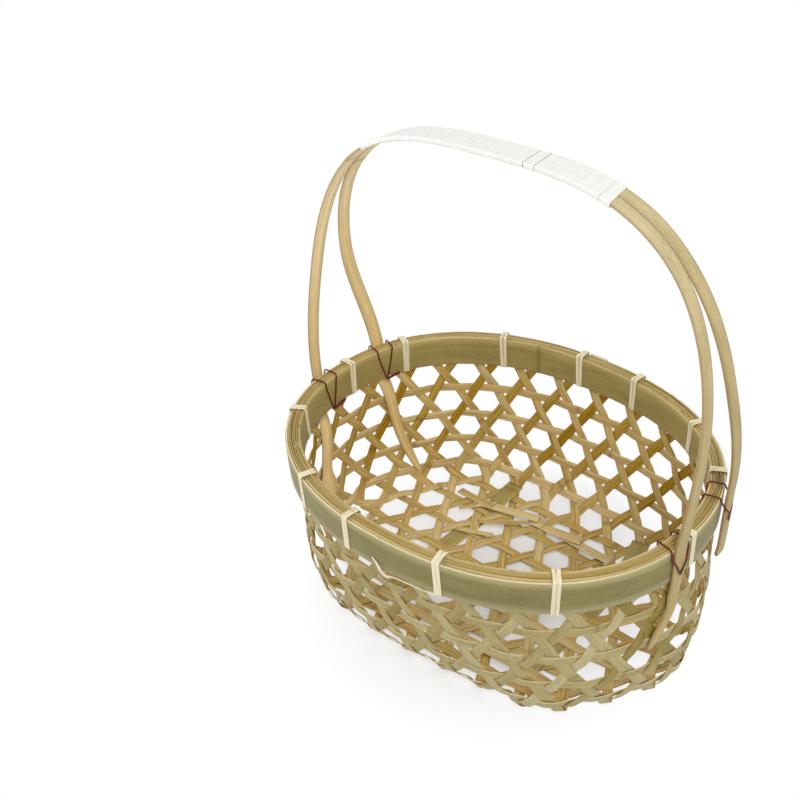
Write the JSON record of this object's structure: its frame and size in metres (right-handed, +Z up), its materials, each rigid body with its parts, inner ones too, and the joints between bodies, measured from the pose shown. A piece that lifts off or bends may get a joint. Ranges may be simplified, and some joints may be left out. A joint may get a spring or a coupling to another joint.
{
  "type": "bamboo harvest basket",
  "caption": "Oval open-top basket woven from bamboo strips in a hexagon weave, with a bound bamboo rim and a fixed arched carrying handle of split bamboo wrapped with pale tape.",
  "frame": {"origin": "centre of the oval rim, dropped to the level of the flat underside of the base", "axes": "+Z up, +X along the longer side of the oval towards one foot of the handle, +Y across the shorter side; the handle's arch lies in the XZ plane"},
  "size_m": [0.3979, 0.3213, 0.4216],
  "materials": {
    "weave_strip": "split bamboo, satin skin outside and matt fibres inside",
    "rim_band": "bamboo skin, satin",
    "rim_lath": "split bamboo, matt",
    "handle_strip": "planed bamboo, satin",
    "handle_tape": "pale flat cane, satin",
    "rim_tie": "pale flat cane, satin",
    "lashing_wire": "dark red-brown coated wire, semi-gloss",
    "base_strip": "split bamboo, satin"
  },
  "bodies": {
    "root": {"weaver_01": "weave_strip", "weaver_02": "weave_strip", "weaver_03": "weave_strip", "weaver_04": "weave_strip", "weaver_05": "weave_strip", "weaver_06": "weave_strip", "weaver_07": "weave_strip", "weaver_08": "weave_strip", "weaver_09": "weave_strip", "weaver_10": "weave_strip", "weaver_11": "weave_strip", "weaver_12": "weave_strip", "weaver_13": "weave_strip", "weaver_14": "weave_strip", "weaver_15": "weave_strip", "weaver_16": "weave_strip", "weaver_17": "weave_strip", "weaver_18": "weave_strip", "weaver_19": "weave_strip", "weaver_20": "weave_strip", "weaver_21": "weave_strip", "weaver_22": "weave_strip", "weaver_23": "weave_strip", "weaver_24": "weave_strip", "weaver_25": "weave_strip", "weaver_26": "weave_strip", "hoop_1": "weave_strip", "hoop_2": "weave_strip", "hoop_3": "weave_strip", "hoop_4": "weave_strip", "rim_band_outer": "rim_band", "rim_band_inner": "rim_band", "rim_lath_1": "rim_lath", "rim_lath_2": "rim_lath", "rim_lath_3": "rim_lath", "rim_lath_4": "rim_lath", "handle_strip_near": "handle_strip", "handle_strip_far": "handle_strip", "handle_tape": "handle_tape", "rim_tie_01": "rim_tie", "rim_tie_02": "rim_tie", "rim_tie_03": "rim_tie", "rim_tie_04": "rim_tie", "rim_tie_05": "rim_tie", "rim_tie_06": "rim_tie", "rim_tie_07": "rim_tie", "rim_tie_08": "rim_tie", "rim_tie_09": "rim_tie", "rim_tie_10": "rim_tie", "rim_tie_11": "rim_tie", "rim_tie_12": "rim_tie", "rim_tie_13": "rim_tie", "wire_near_left": "lashing_wire", "wire_far_left": "lashing_wire", "wire_near_right": "lashing_wire", "wire_far_right": "lashing_wire", "base_strip_far": "base_strip", "base_strip_near": "base_strip", "base_cross_left": "base_strip", "base_cross_right": "base_strip"}
  },
  "joints": []
}
